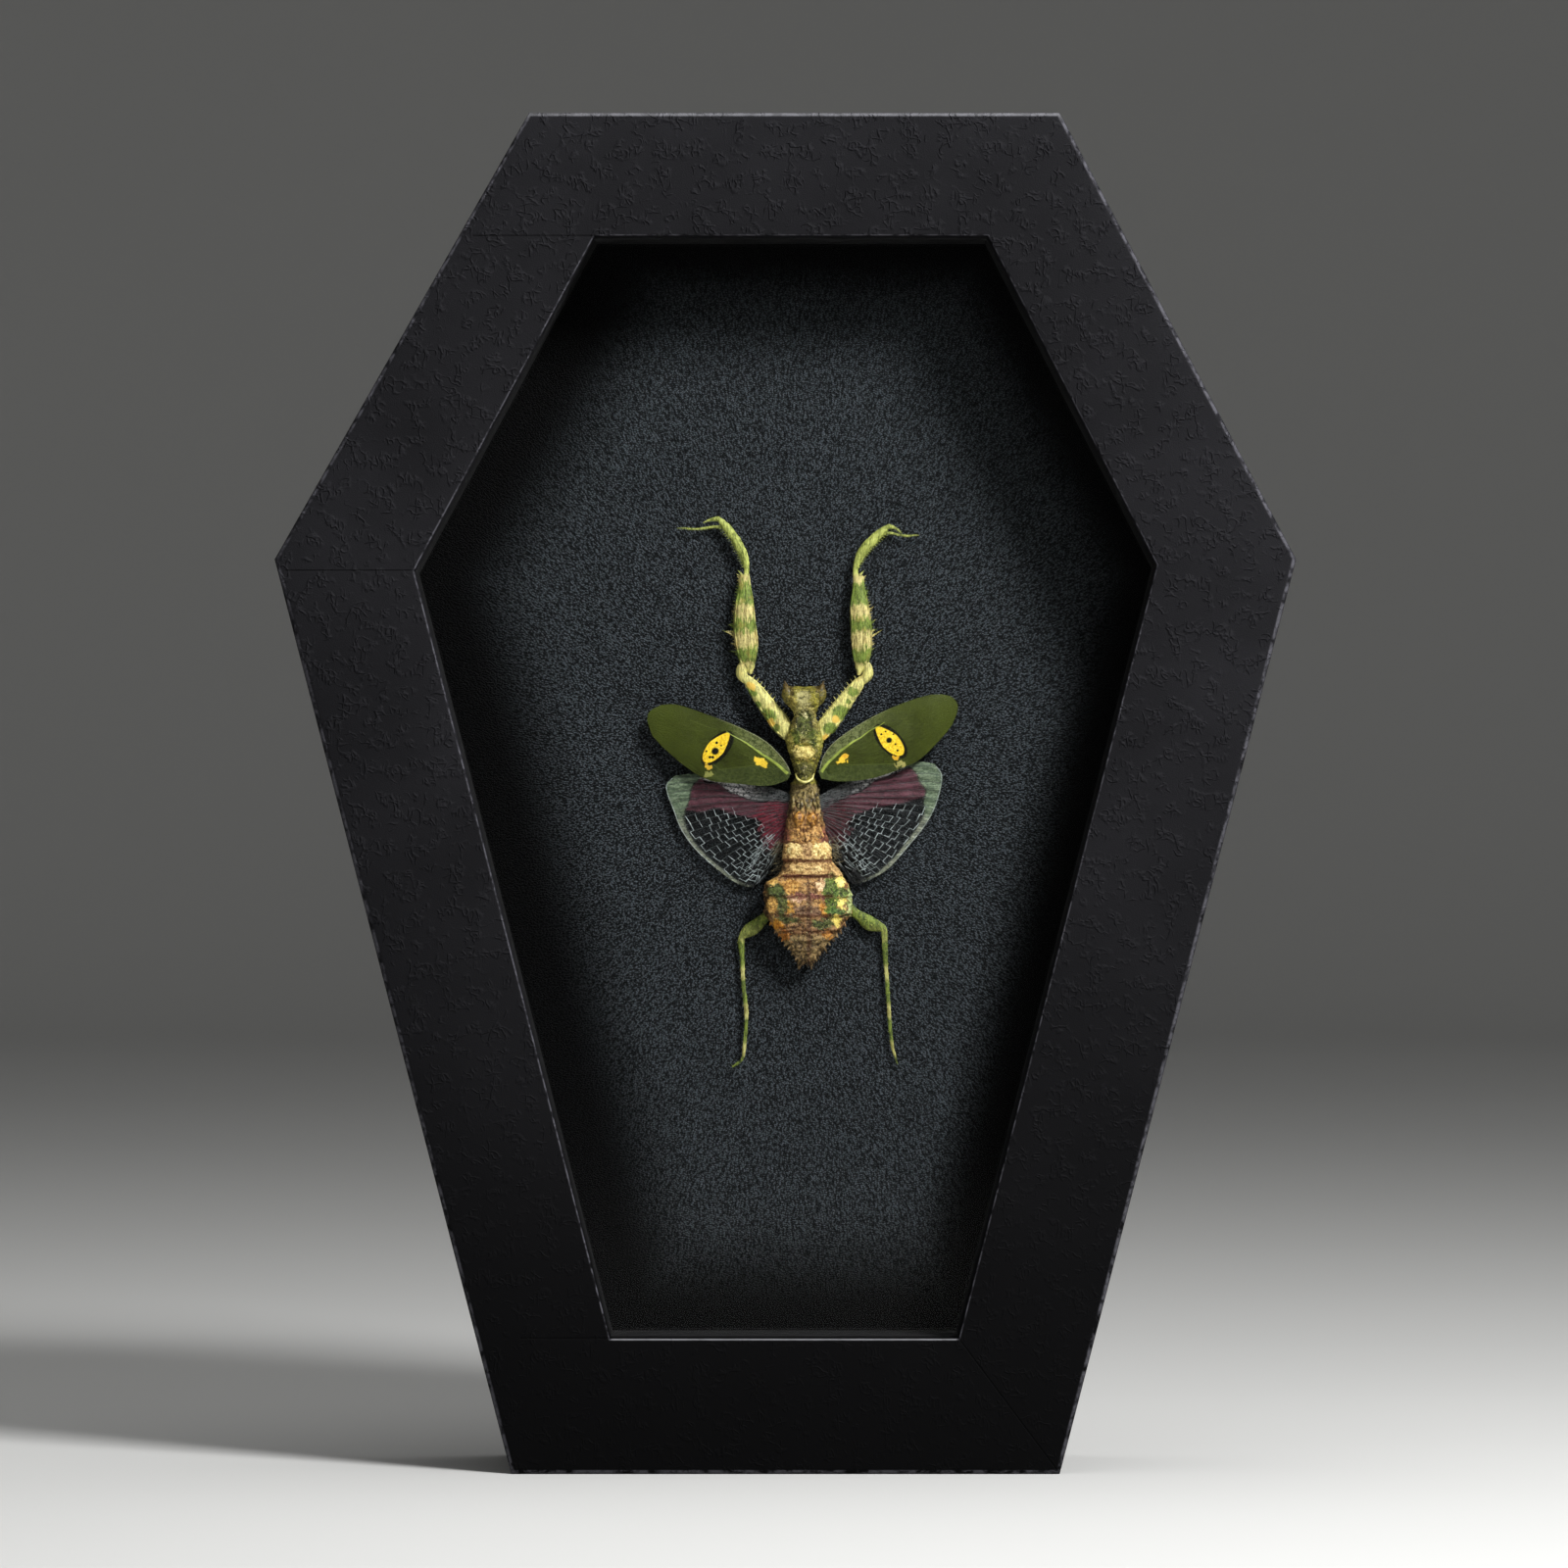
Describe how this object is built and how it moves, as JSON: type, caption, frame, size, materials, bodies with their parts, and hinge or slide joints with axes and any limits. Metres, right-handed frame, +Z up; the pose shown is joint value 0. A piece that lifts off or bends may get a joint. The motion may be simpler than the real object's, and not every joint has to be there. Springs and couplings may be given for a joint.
{
  "type": "framed flower mantis specimen",
  "caption": "Spread flower mantis behind glass in a standing black coffin-shaped shadow box with a leatherette backing.",
  "frame": {"origin": "on the ground under the middle of the case's box", "axes": "+Z up the standing case, +Y from its front to its back, +X to the right as seen from the front"},
  "size_m": [0.143, 0.028, 0.1905],
  "materials": {
    "frame_paper": "matt embossed black paper over the rails",
    "glass": "clear polished",
    "liner_card": "matt black",
    "leatherette": "pebbled black, low sheen",
    "backing_board": "plain black board",
    "hanger_steel": "bright zinc",
    "mantis_cuticle": "dry cuticle, satin",
    "forewing_membrane": "satin olive green with yellow eye spot",
    "hindwing_membrane": "thin membrane, maroon, green and clear",
    "banded_leg": "dry cuticle, cream with green bands"
  },
  "bodies": {
    "root": {"top_rail": "frame_paper", "upper_right_rail": "frame_paper", "lower_right_rail": "frame_paper", "bottom_rail": "frame_paper", "lower_left_rail": "frame_paper", "upper_left_rail": "frame_paper", "glass_pane": "glass", "top_liner": "liner_card", "upper_right_liner": "liner_card", "lower_right_liner": "liner_card", "bottom_liner": "liner_card", "lower_left_liner": "liner_card", "upper_left_liner": "liner_card", "leatherette_board": "leatherette", "back_panel": "backing_board", "sawtooth_hanger": "hanger_steel", "hanger_screw_left": "hanger_steel", "hanger_screw_right": "hanger_steel", "mantis_body": "mantis_cuticle", "left_forewing": "forewing_membrane", "left_hindwing": "hindwing_membrane", "left_foreleg": "banded_leg", "left_hind_leg": "banded_leg", "right_forewing": "forewing_membrane", "right_hindwing": "hindwing_membrane", "right_foreleg": "banded_leg", "right_hind_leg": "banded_leg"}
  },
  "joints": []
}
